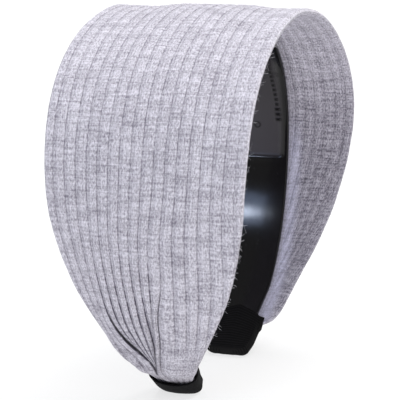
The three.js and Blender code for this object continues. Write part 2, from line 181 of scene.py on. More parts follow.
class Column:
    """One named column of a table, read at any place as a smooth curve that never overshoots its rows."""

    def __init__(self, rows, by, name):
        self.at = np.array([row[by] for row in rows], float)
        self.value = np.array([row[name] for row in rows], float)
        gap = np.diff(self.at)
        rise = np.diff(self.value) / gap
        slope = np.zeros(len(rows))
        slope[0], slope[-1] = rise[0], rise[-1]
        for k in range(1, len(rows) - 1):
            if rise[k - 1] * rise[k] > 0:
                before, after = gap[k - 1], gap[k]
                weight = (2 * after + before) / rise[k - 1] + (after + 2 * before) / rise[k]
                slope[k] = 3 * (before + after) / weight
        self.slope = slope

    def __call__(self, place):
        place = np.clip(np.asarray(place, float), self.at[0], self.at[-1])
        k = np.clip(np.searchsorted(self.at, place, side="right") - 1, 0, len(self.at) - 2)
        length = self.at[k + 1] - self.at[k]
        share = (place - self.at[k]) / length
        bent = share * share * (3 - 2 * share)
        lead = share * (1 - share) ** 2 * self.slope[k]
        tail = share * share * (1 - share) * self.slope[k + 1]
        return mix(self.value[k], self.value[k + 1], bent) + length * (lead - tail)


def curves(rows):
    """Each column of a table as a curve along the band."""
    return {name: Column(rows, "s", name) for name in rows[0] if name != "s"}


class Band:
    """The arc of the band, walked from the crown in short steps, and the places on it."""

    def __init__(self):
        heading = Column(HEADINGS, "share", "degrees")
        count = math.ceil((HALF_ARC + ARC_SPARE) / ARC_STEP)
        middle = np.radians(heading((np.arange(count) + 0.5) * ARC_STEP / HALF_ARC))
        self.s = np.arange(count + 1) * ARC_STEP
        self.x = np.concatenate([[0], np.cumsum(np.cos(middle)) * ARC_STEP])
        self.z = np.concatenate([[0], -np.cumsum(np.sin(middle)) * ARC_STEP])
        self.turn = np.concatenate([[0], np.radians(heading(self.s[1:] / HALF_ARC))])
        low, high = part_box("hoop")
        self.shift_y = low.y / MM + HOOP_HALF_AT_CROWN
        self.shift_z = high.z / MM - HOOP_OUTSIDE

    def place(self, s, y, n):
        """Points in space, in millimetres, of places on the band."""
        s, y, n = np.broadcast_arrays(np.asarray(s, float), y, n)
        along = np.abs(s)
        turn = np.interp(along, self.s, self.turn)
        x = np.interp(along, self.s, self.x) + np.sin(turn) * n
        z = np.interp(along, self.s, self.z) + np.cos(turn) * n
        swept = y + SWEEP_BACK * (along / HALF_ARC) ** 3
        return np.stack([np.where(s < 0, -x, x), swept + self.shift_y, z + self.shift_z], axis=-1)


band = Band()
hoop_half = Column(HOOP_ROWS, "s", "half")
cover_at = curves(COVER_ROWS)
swell_at = Column(RIGHT_SWELL, "s", "wide")
wrap_at = curves(WRAP_ROWS)


def new_object(name, data):
    made = bpy.data.objects.new(name, data)
    bpy.context.scene.collection.objects.link(made)
    return made


def grid_mesh(name, points, attributes):
    """A closed mesh from a grid of points in millimetres: rows along, columns around, a cap at each end."""
    rows, columns = points.shape[:2]
    i, j = np.meshgrid(np.arange(rows - 1), np.arange(columns), indexing="ij")
    i, j = i.ravel(), j.ravel()
    nxt = (j + 1) % columns
    quads = np.stack([i * columns + j, i * columns + nxt, (i + 1) * columns + nxt, (i + 1) * columns + j], 1)
    flat = points.reshape(-1, 3) * MM
    way = -1 if signed_volume(flat, quads) < 0 else 1
    ring = np.arange(columns)
    corners = np.concatenate([quads[:, ::way].ravel(), ring[::-way], ring[::way] + (rows - 1) * columns])
    sizes = np.array([4] * len(quads) + [columns, columns])
    starts = np.concatenate([[0], np.cumsum(sizes)[:-1]])
    mesh = bpy.data.meshes.new(name)
    mesh.vertices.add(len(flat))
    mesh.vertices.foreach_set("co", flat.astype(np.float32).ravel())
    mesh.loops.add(len(corners))
    mesh.loops.foreach_set("vertex_index", corners.astype(np.int32))
    mesh.polygons.add(len(sizes))
    mesh.polygons.foreach_set("loop_start", starts.astype(np.int32))
    for key, values in attributes.items():
        corner = np.stack([values[i, j], values[i, j + 1], values[i + 1, j + 1], values[i + 1, j]], 1)
        first, last = values[0, :-1], values[-1, :-1]
        listed = np.concatenate([corner[:, ::way].ravel(), first[::-way], last[::way]])
        layer = mesh.attributes.new(key, "FLOAT", "CORNER")
        layer.data.foreach_set("value", listed.astype(np.float32))
    mesh.update(calc_edges=True)
    mesh.validate()
    mesh.shade_smooth()
    return new_object(name, mesh)


def signed_volume(points, quads):
    a, b, c, d = (points[quads[:, k]] for k in range(4))
    first = np.einsum("ij,ij->i", a, np.cross(b, c))
    second = np.einsum("ij,ij->i", a, np.cross(c, d))
    return float((first + second).sum() / 6)


def ripple(place, seeds):
    """A smooth waver between -1 and 1, the same each run: a sum of waves of unrelated lengths."""
    total = 0
    for length, phase in seeds:
        total = total + np.sin(place * (2 * math.pi / length) + phase)
    return total / len(seeds)


def hump(value, middle, reach):
    """1 at the middle, falling smoothly to nothing on both sides."""
    return np.exp(-(((value - middle) / reach) ** 2))


# The cloth: how much turns in at a rim, the flat size of the doubled band, a rib's width and the stitches
TURNED_IN = 5
TURNED_SHARE = 0.55
RIB_WIDTH = 3.9
STITCH_WIDE = 1.1
STITCH_HIGH = 0.75

# Unevenness of the rims, of the ribs' height and of the whole cloth: wave lengths with their phases
RIM_BUMPS = 0.05
RIM_WAVES = [(3.1, 0.5), (7.3, 1.5), (1.9, 2.5)]
RIB_WAVER = 0.2
OUTER_RIB_WAVES = [(23, 0.4), (9.7, 2.1), (5.3, 1.2)]
INNER_RIB_WAVES = [(29, 0.8), (12, 2.9)]
LUMPS_ACROSS = [(31, 0.3), (19, 1.7)]
LUMPS_ALONG = [(41, 0.9), (27, 2.6)]
LUMPS_SLANT = 0.13

# The cover's fine mesh: places in one rib, from groove to groove, and along the band
RIB_OFFSETS = np.array([0, 0.035, 0.08, 0.15, 0.28, 0.42, 0.52, 0.59, 0.66, 0.78, 0.9, 0.965])
SPARE_RIBS = 0.9
INNER_OFFSETS = np.array([0, 0.07, 0.17, 0.55, 0.68, 0.9])
INNER_GAP = 0.03
STATION_STEPS = table("until step", (108, 1.6), (140, 1.3), (183, 0.85))

# One rib from groove to groove: a narrow crease, a raised flat with rounded edges, and a sunk channel
RIB_PROFILE = table(
    "part level",
    (0, -0.34),
    (0.05, -0.19),
    (0.1, -0.04),
    (0.17, 0.04),
    (0.35, 0.02),
    (0.52, 0.09),
    (0.58, 0.05),
    (0.66, -0.12),
    (0.76, -0.2),
    (0.9, -0.2),
    (0.96, -0.24),
    (1, -0.34),
)
rib_level = Column(RIB_PROFILE, "part", "level")

# The profile is full at this depth of groove, limited by the ribs' width, and softer by the front rim
FULL_GROOVE = 0.4
STEEPEST = 0.42
FRONT_SOFTER = 0.35
SOFT_UNTIL = 1
FIRM_FROM = 4

# Where the ribs run as the band narrows: the rib at the front and at the back rim, and how far across
# the band the front group laps over the middle one and the back group does
LIP_RIB = 8
FOLD_RIB = 14
GATHER_FROM = 88
GATHER_FULL = 116
GATHER_ROWS = table(
    "s first last lip fold",
    (88, 0, 18, -2.4, 20.2),
    (100, 0, 18, -2, 19.9),
    (112, 0.35, 18, -1.3, 19.2),
    (125, 1, 18, -0.7, 18.2),
    (135, 1.5, 17.8, -0.5, 17.1),
    (145, 2, 17.6, -0.4, 15.8),
    (151, 2.35, 17.4, -0.2, 13.8),
    (157.5, 2.7, 17, 0.5, 10.3),
    (161, 2.85, 16.7, 1.1, 7.9),
    (164.4, 3, 16.4, 1.5, 5.6),
    (168, 3.1, 16.2, 2.1, 4.6),
    (174, 3.2, 16, 3, 4.3),
    (178, 3.2, 16, 2.9, 4),
    (183, 3.2, 16, 2.6, 3.4),
)
gather_at = curves(GATHER_ROWS)

# Laps: the groove each one follows, which way its edge laps over (1 is to the back) and how far, how high
# the edge stands, how deep the cloth under it sinks and over how many ribs, and how dark the painted
# shadow beyond the edge is and how far it reaches
FOLDS = table(
    "groove toward over lift drop reach dark wide from full until to",
    (7, 1, 0.25, 0.25, 0.5, 0.9, 0.75, 0.5, 126, 142, 160, 170),
    (8, 1, 0.6, 0.6, 0.9, 2.2, 0.8, 0.9, 134, 154, 176, 183),
    (14, -1, 0.7, 0.4, 0.9, 1.8, 0.85, 0.5, 136, 156, 168, 177),
)

# In ribs: where a lap starts and is full, how far the cloth under it is pulled along and how much, how
# much its edge rolls down, how steeply it rises, and how far beyond the edge the painted shadow reaches
LAP_FROM = -0.9
LAP_FULL = -0.06
PULLED_FROM = 0.1
PULLED_TO = 1.1
PULLED = 0.4
ROLLED = 0.35
RISEN = -0.25
SHADOW_PAST = 1.3
SHADOW_SPARE = 0.1

# The pleats' width in ribs, their greatest depth in widths of a rib, and up to which share of the way to a
# rim the cloth is loose enough to fold
PLEAT_REACH = 0.3
PLEAT_LIMIT = 1.1
LOOSE_UNTIL = 0.8

# Low down the middle ribs are drawn together and the painted shade in their creases deepens, two ribs are
# pinched into a narrow ridge, and the front group runs out into a soft puff above the sleeve
DRAWN_CREASE_SHADE = {"from": 114, "full": 146, "most": 1.85}
PINCH = {"rib": 7, "reach": 0.8, "over": 2.3, "from": 126, "full": 146, "until": 168, "to": 176}
PUFF = {"rib": 6.6, "from": 148, "full": 163, "until": 172, "to": 177, "high": 0.9}

# The inner side: how far from the hoop the ribs begin, how much they fade low down, and the painted shade in
# their creases
INNER_RIBS_FROM = 0.5
INNER_RIBS_FULL = 2.5
INNER_FADE = 0.7
INNER_CREASE_SHADING = 0.55


def stations_along(parts):
    """Places along both halves from a table of steps."""
    places = [0]
    for part in parts:
        start = places[-1]
        count = max(1, round((part["until"] - start) / part["step"]))
        places += [start + (part["until"] - start) * (k + 1) / count for k in range(count)]
    half = np.array(places)
    return np.concatenate([-half[:0:-1], half])


def window(along, fold):
    """How far a fold has formed at a place along the half."""
    return ease(along, fold["from"], fold["full"]) * (1 - ease(along, fold["until"], fold["to"]))


class CoverRows:
    """The cover's measures at each row of its grid."""

    def __init__(self, s):
        self.s = s
        self.along = np.abs(s)
        self.radius = cover_at["thick"](self.along) / 2
        self.front = cover_at["front"](self.along) + np.where(s > 0, swell_at(self.along), 0) - self.radius
        self.back = cover_at["back"](self.along) - self.radius

    def beside_hoop(self, y):
        return np.abs(y) - hoop_half(self.along)

    def share(self, y, wider=0):
        """How far y lies from the middle to its rim."""
        return y / np.where(y < 0, self.front + wider, self.back + wider)

    def level_inside(self, y):
        raised = RAISE * (1 - ease(self.along, FALL_FROM, FALL_TO))
        rim = ease(np.abs(self.share(y)), RIM_FROM, 1)
        return COVER_INSIDE - raised * ease(self.beside_hoop(y), RAISE_FROM, RAISE_TO) + RIM_FLARE * rim


def place_ribs(rows, rib):
    """How far across the band each place in a rib lies, and how wide a rib is there."""
    quarter = rows.radius * math.pi / 2
    front, back = rows.front + quarter, rows.back + quarter
    first, last, lip, fold = (gather_at[name](rows.along) for name in ("first", "last", "lip", "fold"))
    gathered = ease(rows.along, GATHER_FROM, GATHER_FULL)
    even = (front + back) / RIBS
    lip = mix(even * LIP_RIB - front, lip, gathered)
    fold = mix(even * FOLD_RIB - front, fold, gathered)
    front_pitch = (lip + front) / (LIP_RIB - first)
    middle_pitch = (fold - lip) / (FOLD_RIB - LIP_RIB)
    back_pitch = (back - fold) / (last - FOLD_RIB)
    pitch = np.where(rib < LIP_RIB, front_pitch, np.where(rib < FOLD_RIB, middle_pitch, back_pitch))
    y = np.where(rib < FOLD_RIB, lip + (rib - LIP_RIB) * pitch, fold + (rib - FOLD_RIB) * pitch)
    return y + PINCH["over"] * window(rows.along, PINCH) * hump(rib, PINCH["rib"], PINCH["reach"]), pitch


def round_rims(rows, y):
    """Turns the cloth round both rims and a little way back inside, and tells how far it is turned."""
    past_front, past_back = -rows.front - y, y - rows.back
    past = np.maximum(past_front, past_back)
    side = np.where(past_front > past_back, -1, 1)
    half_width = np.where(side < 0, rows.front, rows.back)
    angle = np.clip(past / rows.radius, 0, math.pi)
    room = np.minimum(TURNED_IN, TURNED_SHARE * half_width)
    turned = room * (1 - np.exp(-np.maximum(past - rows.radius * math.pi, 0) / room))
    bumps = 1 + RIM_BUMPS * ripple(rows.s + 5 * side, RIM_WAVES) * np.sin(angle)
    return np.where(past > 0, side * (half_width - turned + rows.radius * np.sin(angle) * bumps), y), angle


def gather_cloth(rows, rib, pitch, loose):
    """What the pleats and laps do: how far they shift and lift the cloth, and the painted shadow beyond the
    laps.
    """
    shift = lift = dark = 0
    for pleat in PLEATS:
        rising = ease(rows.along, pleat["from"], pleat["deepest"])
        depth = pleat["depth"] * rising * (1 - ease(rows.along, pleat["deepest"], pleat["to"]))
        lift = lift - np.minimum(depth, PLEAT_LIMIT * pitch) * hump(rib, pleat["groove"], PLEAT_REACH) * loose
    for fold in FOLDS:
        formed = window(rows.along, fold) * loose
        d = (rib - fold["groove"]) * fold["toward"]
        lapping = ease(d, LAP_FROM, LAP_FULL) * (d < 0)
        pulled = (1 - ease(d, PULLED_FROM, PULLED_TO)) * (d > 0)
        shift = shift + fold["toward"] * formed * fold["over"] * (lapping - PULLED * pulled)
        rise = ease(d, -fold["reach"], RISEN) * (d < 0) * (1 - ROLLED * ease(d, -PULLED_FROM, 0))
        sink = (1 - ease(d, PULLED_FROM, fold["reach"])) * (d >= 0)
        lift = lift + formed * (fold["lift"] * rise - fold["drop"] * sink)
        # Painted shadow on the cloth just beyond a lap's edge, fading further on
        lit_from = (SHADOW_PAST * fold["over"] + SHADOW_SPARE) * formed
        shadow = ease(d, LAP_FULL, 0.02) * (1 - ease(d * pitch, lit_from, lit_from + fold["wide"]))
        dark = np.maximum(dark, fold["dark"] * shadow * window(rows.along, fold))
    return shift, lift, dark


def outer_side(rows, settings):
    """The outer side and both rims, with the values that the knit's colours follow."""
    rib = (np.arange(-1, RIBS + 1)[:, None] + RIB_OFFSETS[None, :]).ravel()
    rib = rib[(rib >= -SPARE_RIBS) & (rib <= RIBS + SPARE_RIBS)][None, :]
    place, pitch = place_ribs(rows, rib)
    y, angle = round_rims(rows, place)
    on_outside = 0.5 + 0.5 * np.cos(angle)
    share = rows.share(y, rows.radius)
    loose = (1 - ease(np.abs(share), LOOSE_UNTIL, 1)) * on_outside

    puffed = window(rows.along, PUFF) * (1 - ease(rib, PUFF["rib"] - 0.5, PUFF["rib"] + 0.1))
    firm = (1 - FRONT_SOFTER * (1 - ease(rib, SOFT_UNTIL, FIRM_FROM))) * (1 - puffed)
    waver = 1 + RIB_WAVER * ripple(rows.s + 17 * np.floor(rib), OUTER_RIB_WAVES)
    strength = np.minimum(cover_at["groove"](rows.along) / FULL_GROOVE, STEEPEST * pitch) * waver * firm
    relief = rib_level(rib - np.floor(rib)) * strength * np.sqrt(np.clip(np.cos(angle), 0, 1))
    domed = cover_at["belly"](rows.along) * np.sqrt(np.clip(1 - share**2, 0, 1))
    domed = domed + PUFF["high"] * puffed * (1 - share**4)
    lumps = ripple(place + rows.s * LUMPS_SLANT, LUMPS_ACROSS) * ripple(rows.s, LUMPS_ALONG)
    raised = 2 * rows.radius + domed + relief + settings.unevenness / MM * lumps
    shift, lift, dark = gather_cloth(rows, rib, pitch, loose)
    points = band.place(rows.s, y + shift, rows.level_inside(y) + raised * on_outside + lift)

    # The painted shade in the creases deepens low down on the middle ribs
    drawn_ribs = ease(rib, LIP_RIB - 0.5, LIP_RIB) * (1 - ease(rib, FOLD_RIB, FOLD_RIB + 0.4))
    drawn = ease(rows.along, DRAWN_CREASE_SHADE["from"], DRAWN_CREASE_SHADE["full"]) * drawn_ribs
    return y, points, {
        "rib": rib,
        "inside": 1 - on_outside,
        "beside": rows.beside_hoop(y),
        # How strong the painted shade in the creases is
        "crease_shading": (1 + DRAWN_CREASE_SHADE["most"] * drawn) * firm,
        # dark: the painted shadow beyond the laps
        "dark": dark * on_outside,
    }


def inner_side(rows, rims):
    """The inner side, from the back rim to the front rim between the turned-in edges, ribs numbered on."""
    start, end = RIBS + SPARE_RIBS, 2 * RIBS - SPARE_RIBS
    rib = (np.arange(RIBS, 2 * RIBS)[:, None] + INNER_OFFSETS[None, :]).ravel()
    rib = rib[(rib > start + INNER_GAP) & (rib < end - INNER_GAP)][None, :]
    y = mix(rims[:, -1:], rims[:, :1], (rib - start) / (end - start))
    beside = rows.beside_hoop(y)
    in_rim = ease(np.abs(rows.share(y)), INNER_RIM, 1)
    faded = INNER_FADE * ease(rows.along, INNER_FADE_FROM, INNER_FADE_TO)
    waver = 1 + RIB_WAVER * ripple(rows.s + 13 * np.floor(rib), INNER_RIB_WAVES)
    strength = ease(beside, INNER_RIBS_FROM, INNER_RIBS_FULL) * waver * (1 - in_rim) * (1 - faded)
    points = band.place(rows.s, y, rows.level_inside(y) - rib_level(rib - np.floor(rib)) * strength)
    return points, {"rib": rib, "inside": 1, "beside": beside, "crease_shading": INNER_CREASE_SHADING, "dark": 0}


def cover_points(settings):
    """The cover's surface as a grid, and the values that the knit's colours follow all round it."""
    rows = CoverRows(stations_along(STATION_STEPS)[:, None])
    y, outer, outer_values = outer_side(rows, settings)
    inner, inner_values = inner_side(rows, y)
    points = np.concatenate([outer, inner], axis=1)
    count = len(rows.s)
    values = {"along": np.broadcast_to(rows.s, (count, points.shape[1] + 1))}
    for name, outside in outer_values.items():
        closing = outside[:, :1] + (2 * RIBS if name == "rib" else 0)
        parts = [(outside, outer.shape[1]), (inner_values[name], inner.shape[1]), (closing, 1)]
        values[name] = np.concatenate([np.broadcast_to(part, (count, wide)) for part, wide in parts], axis=1)
    return points, values


# The loose fibre ends along both rims: rings of points along each, how far along the band they grow, how
# deep their roots sit, and how much each one thins and curls
FUZZ_RINGS = 4
FUZZ_SIDES = 3
FUZZ_UNTIL = 168
ROOT_DEPTH = 0.12
RIM_ROUND = 0.9
THINNED = 0.6
TILTED = 0.5
CURLED = 0.5


def fuzz_mesh(settings):
    """Short fine hairs standing off the rims of the cover, each a small closed tube."""
    chance = np.random.default_rng(11)
    count = settings.strands
    s = chance.uniform(-FUZZ_UNTIL, FUZZ_UNTIL, count)
    side = np.where(chance.random(count) < 0.5, -1, 1)
    rise = chance.uniform(0.15, 0.85, count)
    length = settings.strand_length / MM * chance.uniform(0.3, 1, count) ** 1.6
    lean, tilt, bend = chance.uniform(-1, 1, (3, count))
    curl = chance.uniform(-1, 1, count)

    rows = CoverRows(s)
    half = np.where(side < 0, rows.front, rows.back) + rows.radius
    raised = RAISE * (1 - ease(rows.along, FALL_FROM, FALL_TO))
    level = COVER_INSIDE - raised + RIM_FLARE + 2 * rows.radius * rise
    y = side * (half - ROOT_DEPTH - RIM_ROUND * np.abs(rise - 0.5))
    root = band.place(s, y, level)
    across = (band.place(s, y + 1, level) - root) * side[:, None]
    outward = band.place(s, y, level + 1) - root
    lengthwise = band.place(s + 1, y, level) - root
    points = []
    for t in np.linspace(0, 1, FUZZ_RINGS):
        reach = across * (length * t)[:, None]
        drift = lengthwise * (length * (lean * t + bend * t * t))[:, None]
        lift = outward * (length * (TILTED * tilt * t + CURLED * curl * t * t))[:, None]
        radius = settings.strand_radius / MM * (1 - THINNED * t)
        for corner in range(FUZZ_SIDES):
            angle = 2 * math.pi * corner / FUZZ_SIDES
            turn = radius * (math.cos(angle) * lengthwise + math.sin(angle) * outward)
            points.append(root + reach + drift + lift + turn)
    rings = np.arange(FUZZ_RINGS * FUZZ_SIDES).reshape(FUZZ_RINGS, FUZZ_SIDES).tolist()
    shape = [rings[0][::-1], rings[-1]]
    for low, high in zip(rings, rings[1:]):
        for a, b, c, d in zip(low, low[1:] + low[:1], high[1:] + high[:1], high):
            shape.append([a, b, c, d])
    faces = []
    for strand in range(count):
        first = strand * FUZZ_RINGS * FUZZ_SIDES
        way = -1 if side[strand] > 0 else 1
        faces += [[first + corner for corner in face[::way]] for face in shape]
    mesh = bpy.data.meshes.new("rim_fuzz")
    mesh.from_pydata((np.stack(points, axis=1).reshape(-1, 3) * MM).tolist(), [], faces)
    mesh.update()
    mesh.shade_smooth()
    return new_object("rim_fuzz", mesh)


# The hoop's moulded detail: edge beads, the sunk panel and how dull it is, the two rows of teeth with
# larger ones at their ends, a round pin mark and two short bars
HOOP_BEAD = 1.2
HOOP_CROWN = 0.1
EDGE_ROUND = 0.35
EDGE_FULLNESS = 0.9
PANEL_DEPTH = 0.6
PANEL_END = 105
PANEL_STEP = 1.9
PANEL_SLOPE = 3
DULL_LEAST = 0.3
DULL_FROM = 50
DULL_FULL = 92
TOOTH_PITCH = 2.2
TOOTH_LINES = table("s y", (0, 4), (58, 4), (88, 5.9))
TOOTH_LONG = 0.3
TOOTH_REACH = 0.95
TOOTH_HEIGHT = 0.8
TEETH_END = 90.2
LARGER_FROM = TEETH_END - 3 * TOOTH_PITCH
LARGER = 0.5
LARGER_OVER = 0.3
TOOTH_MARK = 2.5
PIN_MARK = {"s": 91.6, "y": 2.7, "radius": 1.05, "wide": 0.3, "high": 0.2}
BARS = table("s high", (67.4, 0.16), (68.7, 0.12))
BAR_REACH = {"from": 4, "full": 4.4, "until": 7.6, "to": 8, "wide": 0.22, "mark": 0.6}
HOOP_CROWDING = 1.15
HOOP_COLUMNS = 66
CORNER_TURNS = [20, 45, 70]
OUTSIDE_REACH = 0.9
OUTSIDE_COLUMNS = 5
HOOP_STEPS = table("until step", (96, 0.275), (110, 0.5), (187, 1.6))
tooth_line = Column(TOOTH_LINES, "s", "y")


def hoop_marks(along, y):
    """How high the teeth, the pin mark and the bars stand, and how strongly each shows."""
    tip_along = 1 - np.abs((along / TOOTH_PITCH) % 1 - 0.5) / TOOTH_LONG
    larger = 1 + LARGER * ease(along, LARGER_FROM - LARGER_OVER, LARGER_FROM + LARGER_OVER)
    tip_across = 1 - np.abs(np.abs(y) - tooth_line(along)) / (TOOTH_REACH * larger)
    tooth = np.clip(np.minimum(tip_along, tip_across), 0, 1) * (along < TEETH_END)
    ring = hump(np.hypot(along - PIN_MARK["s"], y - PIN_MARK["y"]), PIN_MARK["radius"], PIN_MARK["wide"])
    height = TOOTH_HEIGHT * larger * tooth + PIN_MARK["high"] * ring
    mark = np.maximum(np.clip(tooth * TOOTH_MARK, 0, 1), ring)
    for bar in BARS:
        raised = hump(along, bar["s"], BAR_REACH["wide"]) * window(np.abs(y), BAR_REACH)
        height = height + bar["high"] * raised
        mark = np.maximum(mark, BAR_REACH["mark"] * raised)
    return height, mark


def hoop_points():
    """The hoop's surface as a grid: inside with its beads, sunk panel, teeth and marks, then outside."""
    s = stations_along(HOOP_STEPS)[:, None]
    along = np.abs(s)
    half = hoop_half(along)
    share = np.linspace(-1, 1, HOOP_COLUMNS)
    share = (np.sign(share) * (1 - (1 - np.abs(share)) ** HOOP_CROWDING))[None, :]
    y = share * half
    edge = half - np.abs(y)
    sunk = ease(edge - HOOP_BEAD, 0, PANEL_SLOPE) * ease(PANEL_END - along, 0, PANEL_STEP)
    rounded = np.clip(1 - edge / EDGE_ROUND, 0, 1)
    height, mark = hoop_marks(along, y)
    n = HOOP_INSIDE + PANEL_DEPTH * sunk + HOOP_CROWN * share**2 - height
    n = n + EDGE_ROUND * (1 - np.sqrt(1 - rounded**2)) * EDGE_FULLNESS
    inside = band.place(s, y, n)

    turns = np.radians([CORNER_TURNS])
    side_n = HOOP_OUTSIDE - EDGE_ROUND * (1 - np.sin(turns))
    side_y = half - EDGE_ROUND * (1 - np.cos(turns))
    back = band.place(s, side_y, side_n)
    front = band.place(s, -side_y[:, ::-1], side_n[:, ::-1])
    across = np.linspace(OUTSIDE_REACH, -OUTSIDE_REACH, OUTSIDE_COLUMNS)
    outside = band.place(s, across[None, :] * half, HOOP_OUTSIDE)
    points = np.concatenate([inside, back, outside, front], axis=1)
    plain = np.zeros((len(s), points.shape[1] + 1 - HOOP_COLUMNS))
    dulled = sunk * mix(DULL_LEAST, 1, ease(along, DULL_FROM, DULL_FULL))
    values = {"panel": dulled, "mark": mark}
    return points, {name: np.concatenate([value, plain], axis=1) for name, value in values.items()}


# The sleeves: the slanting mouth, the right one's ear, the walls and the closing rings at the bottom
WRAP_SQUARE = 0.75
WRAP_END = 188.2
WRAP_CLOSING = table(
    "s scale",
    (188.75, 0.94),
    (189.05, 0.82),
    (189.2, 0.6),
    (189.2, 0.3),
)
WRAP_INSIDE = -4.8
WRAP_WALL = 0.8
WRAP_CORNER = 0.7
CORNER_RISE = 1.6
MOUTH = {"outside_middle": 179, "outside_edge": 177, "inside_edge": 174.8, "inside_middle": 168.5}
MOUTH_ARCH = 0.6
EAR = 2.9
EAR_FROM = 174.8
EAR_TO = 178
EAR_REACH = 0.9
WRAP_ROWS_ALONG = 34
WRAP_CROWDING = 1.15
WRAP_OUTSIDE_POINTS = 60
WRAP_INSIDE_POINTS = 40
CAVITY_ROWS = 12
CAVITY_TOP = 0.04
CAVITY_END = 187.4
LIP_ROUND = [0.25, 0.6, 0.85]
TURN_SPARE = 0.08


def wrap_place(side, s, across, wall):
    """How far across the band a place on a sleeve lies, and the sleeve's half width there."""
    ear = EAR if side > 0 and wall == 0 else 0
    front_at = wrap_at["front_right"] if side > 0 else wrap_at["front_left"]
    half = np.where(across < 0, front_at(s), wrap_at["back"](s)) - wall
    return across * half - ear * (1 - ease(s, EAR_FROM, EAR_TO)) * ease(-across, EAR_REACH, 1), half


def wrap_ring(side, share, end, wall, inside):
    """One ring round a sleeve, at a share of the way from its slanting mouth to its end."""
    angle = np.linspace(0, math.pi, WRAP_OUTSIDE_POINTS)
    across = np.cos(angle)
    s = mix(mix(MOUTH["outside_edge"], MOUTH["outside_middle"], np.sin(angle)), end, share)
    y, _ = wrap_place(side, s, across, wall)
    edge = mix(wrap_at["front_edge"](s), wrap_at["back_edge"](s), (across + 1) / 2)
    n = edge + (wrap_at["bulge"](s) - wall) * np.sin(angle).clip(0) ** WRAP_SQUARE
    over = band.place(side * s, y, n)

    turn = np.linspace(0, 1, WRAP_INSIDE_POINTS + 2)[1:-1]
    across = -1 + 2 * ease(turn, -TURN_SPARE, 1 + TURN_SPARE)
    arch = np.clip(1 - np.abs(across), 0, 1) ** MOUTH_ARCH
    s = mix(mix(MOUTH["inside_edge"], MOUTH["inside_middle"], arch), end, share)
    y, half = wrap_place(side, s, across, wall)
    corner = 1 - ease((1 - np.abs(across)) * half, 0, WRAP_CORNER)
    under = band.place(side * s, y, inside + CORNER_RISE * corner * corner)
    return np.concatenate([over, under])


def pressed_up(ring, level):
    """A ring with what lies below a level pressed up to it."""
    return np.stack([ring[:, 0], ring[:, 1], np.maximum(ring[:, 2], level)], axis=1)


def wrap_points(side):
    """A sleeve's skin: from the bottom of the cavity to the mouth, round its lip and down the outside."""
    shares = np.linspace(0, 1, WRAP_ROWS_ALONG) ** WRAP_CROWDING
    outer = [wrap_ring(side, share, WRAP_END, 0, WRAP_INSIDE) for share in shares]
    last = outer[-1]
    axis = last.mean(axis=0)
    start = band.place(WRAP_END * side, 0, 0)
    for row in WRAP_CLOSING:
        outer.append((last - axis) * row["scale"] + axis + band.place(side * row["s"], 0, 0) - start)
    outer = [pressed_up(ring, 0) for ring in outer]
    shares = np.linspace(1, CAVITY_TOP, CAVITY_ROWS)
    cavity = [wrap_ring(side, share, CAVITY_END, WRAP_WALL, WRAP_INSIDE + WRAP_WALL) for share in shares]
    cavity = [pressed_up(ring, WRAP_WALL) for ring in cavity]
    lip = [mix(cavity[-1], outer[0], share) for share in LIP_ROUND]
    return np.stack(cavity + lip + outer)


class Value:
    """A shader value: arithmetic on it adds Math nodes to its tree."""

    def __init__(self, tree, socket):
        self.tree = tree
        self.socket = socket

    def combine(self, operation, *values):
        return add(self.tree, "ShaderNodeMath", {"operation": operation}, dict(enumerate(values)))

    def __add__(self, other):
        return self.combine("ADD", self, other)

    def __sub__(self, other):
        return self.combine("SUBTRACT", self, other)

    def __rsub__(self, other):
        return self.combine("SUBTRACT", other, self)

    def __mul__(self, other):
        return self.combine("MULTIPLY", self, other)

    def __truediv__(self, other):
        return self.combine("DIVIDE", self, other)

    def __abs__(self):
        return self.combine("ABSOLUTE", self)

    def sine(self):
        return self.combine("SINE", self)

    def fraction(self):
        return self.combine("FRACT", self)

    __radd__ = __add__
    __rmul__ = __mul__


def feed(tree, node, values):
    """Links or sets a node's sockets, each by its name or number."""
    for key, value in values.items():
        socket = node.inputs[key]
        if isinstance(value, Value):
            tree.links.new(value.socket, socket)
        else:
            socket.default_value = (*value, 1) if socket.type == "RGBA" else value


def add(tree, kind, settings=None, inputs=None, output=0):
    """Adds one node: its settings first, then the values or links of its sockets, and gives one output."""
    node = tree.nodes.new(kind)
    for name, value in (settings or {}).items():
        setattr(node, name, value)
    feed(tree, node, inputs or {})
    return Value(tree, node.outputs[output])


def attribute(tree, name):
    return add(tree, "ShaderNodeAttribute", {"attribute_name": name}, output="Fac")


def object_place(tree):
    return add(tree, "ShaderNodeTexCoord", output="Object")


def noise(tree, place, scale, detail=2.0, roughness=0.5):
    values = {"Vector": place, "Scale": scale, "Detail": detail, "Roughness": roughness}
    return add(tree, "ShaderNodeTexNoise", {"noise_dimensions": "3D"}, values)


def cloth_noise(tree, along, across, row):
    """Noise in the cloth's own measures, drawn out to a length along the ribs and a width across them."""
    place = {0: along * (1 / row["long"]), 1: across * (1 / row["wide"]), 2: row["seed"]}
    place = add(tree, "ShaderNodeCombineXYZ", None, place)
    return noise(tree, place, 1.0, row["detail"], row["roughness"])


def between(tree, value, low, high):
    """How far a value has come from low to high, smoothly."""
    settings = {"interpolation_type": "SMOOTHSTEP"}
    return add(tree, "ShaderNodeMapRange", settings, {"Value": value, "From Min": low, "From Max": high})


def within(tree, value, low, high):
    """1 up to low, falling smoothly to 0 at high."""
    return 1 - between(tree, value, low, high)


def blend_colour(tree, share, first, second):
    return add(tree, "ShaderNodeMix", {"data_type": "RGBA"}, {0: share, 6: first, 7: second}, output=2)


def linear(colour):
    """A screen colour, 0 to 255, as the linear colour that shaders take."""
    parts = [part / 255 for part in colour]
    return tuple(part / 12.92 if part <= 0.04045 else ((part + 0.055) / 1.055) ** 2.4 for part in parts)


